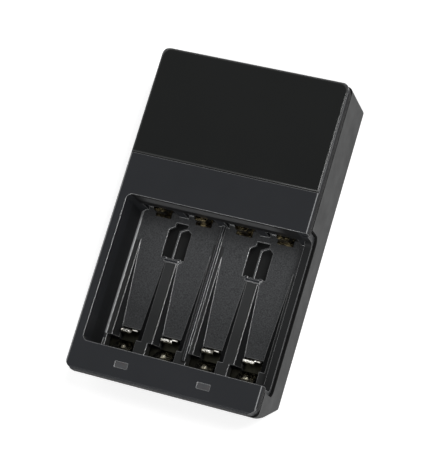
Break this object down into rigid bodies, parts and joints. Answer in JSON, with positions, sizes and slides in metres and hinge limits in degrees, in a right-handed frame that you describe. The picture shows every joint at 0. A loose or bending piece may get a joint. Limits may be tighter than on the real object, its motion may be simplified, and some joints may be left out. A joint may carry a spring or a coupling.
{
  "type": "aa battery charger",
  "caption": "Compact plug-in charger for AA and AAA cells: open battery tray with side notch and sprung contacts, gloss panel, indicator windows and a folding mains plug in the back.",
  "frame": {"origin": "centre of the back, on the surface that the charger lies on", "axes": "+Z out of the face, +Y along the length towards the gloss end, +X to the right seen from the front with the gloss end up"},
  "size_m": [0.07, 0.119, 0.0283],
  "materials": {
    "satin_black": "satin",
    "housing_grey": "matte",
    "gloss_black": "gloss",
    "bronze": "satin",
    "nickel": "bright",
    "lens_grey": "satin",
    "board_green": "satin",
    "led_white": "satin",
    "ferrite": "matte",
    "winding": "satin",
    "can_sleeve": "gloss",
    "chip_black": "matte",
    "fuse_glass": "gloss",
    "plug_black": "satin",
    "blade_nickel": "satin",
    "screw_steel": "satin"
  },
  "bodies": {
    "body": {"rear_housing": "housing_grey", "front_tray": "satin_black", "gloss_panel": "gloss_black", "positive_contact_1": "bronze", "positive_contact_2": "bronze", "positive_contact_3": "bronze", "positive_contact_4": "bronze", "negative_bus": "nickel", "led_window_left": "lens_grey", "led_window_right": "lens_grey", "led_board": "board_green", "led_left": "led_white", "led_right": "led_white", "main_board": "board_green", "transformer_core": "ferrite", "transformer_coil": "winding", "mains_capacitor": "can_sleeve", "output_capacitor": "can_sleeve", "bridge_rectifier": "chip_black", "controller_chip": "chip_black", "fuse": "fuse_glass", "mains_spring_left": "bronze", "mains_spring_right": "bronze", "housing_screws": "screw_steel"},
    "plug": {"plug_barrel": "plug_black", "plug_blade_left": "blade_nickel", "plug_blade_right": "blade_nickel"},
    "aa_spring_1": {"aa_contact_1": "nickel"},
    "aa_spring_2": {"aa_contact_2": "nickel"},
    "aa_spring_3": {"aa_contact_3": "nickel"},
    "aa_spring_4": {"aa_contact_4": "nickel"},
    "aaa_spring_1": {"aaa_contact_1": "nickel"},
    "aaa_spring_2": {"aaa_contact_2": "nickel"},
    "aaa_spring_3": {"aaa_contact_3": "nickel"},
    "aaa_spring_4": {"aaa_contact_4": "nickel"}
  },
  "joints": [
    {"name": "plug_fold", "type": "hinge", "parent": "body", "child": "plug", "pos_m": [0, 0.0485, 0.006], "axis": [1, 0, 0], "range_deg": [0, 90]},
    {"name": "aa_press_1", "type": "hinge", "parent": "body", "child": "aa_spring_1", "pos_m": [-0.0231, -0.0479, 0.0126], "axis": [-1, 0, 0], "range_deg": [0, 34], "stiffness_Nm_per_rad": 0.03},
    {"name": "aa_press_2", "type": "hinge", "parent": "body", "child": "aa_spring_2", "pos_m": [-0.0077, -0.0479, 0.0126], "axis": [-1, 0, 0], "range_deg": [0, 34], "stiffness_Nm_per_rad": 0.03},
    {"name": "aa_press_3", "type": "hinge", "parent": "body", "child": "aa_spring_3", "pos_m": [0.0077, -0.0479, 0.0126], "axis": [-1, 0, 0], "range_deg": [0, 34], "stiffness_Nm_per_rad": 0.03},
    {"name": "aa_press_4", "type": "hinge", "parent": "body", "child": "aa_spring_4", "pos_m": [0.0231, -0.0479, 0.0126], "axis": [-1, 0, 0], "range_deg": [0, 34], "stiffness_Nm_per_rad": 0.03},
    {"name": "aaa_press_1", "type": "hinge", "parent": "body", "child": "aaa_spring_1", "pos_m": [-0.0231, -0.0372, 0.004], "axis": [1, 0, 0], "range_deg": [0, 40], "stiffness_Nm_per_rad": 0.02},
    {"name": "aaa_press_2", "type": "hinge", "parent": "body", "child": "aaa_spring_2", "pos_m": [-0.0077, -0.0372, 0.004], "axis": [1, 0, 0], "range_deg": [0, 40], "stiffness_Nm_per_rad": 0.02},
    {"name": "aaa_press_3", "type": "hinge", "parent": "body", "child": "aaa_spring_3", "pos_m": [0.0077, -0.0372, 0.004], "axis": [1, 0, 0], "range_deg": [0, 40], "stiffness_Nm_per_rad": 0.02},
    {"name": "aaa_press_4", "type": "hinge", "parent": "body", "child": "aaa_spring_4", "pos_m": [0.0231, -0.0372, 0.004], "axis": [1, 0, 0], "range_deg": [0, 40], "stiffness_Nm_per_rad": 0.02}
  ]
}
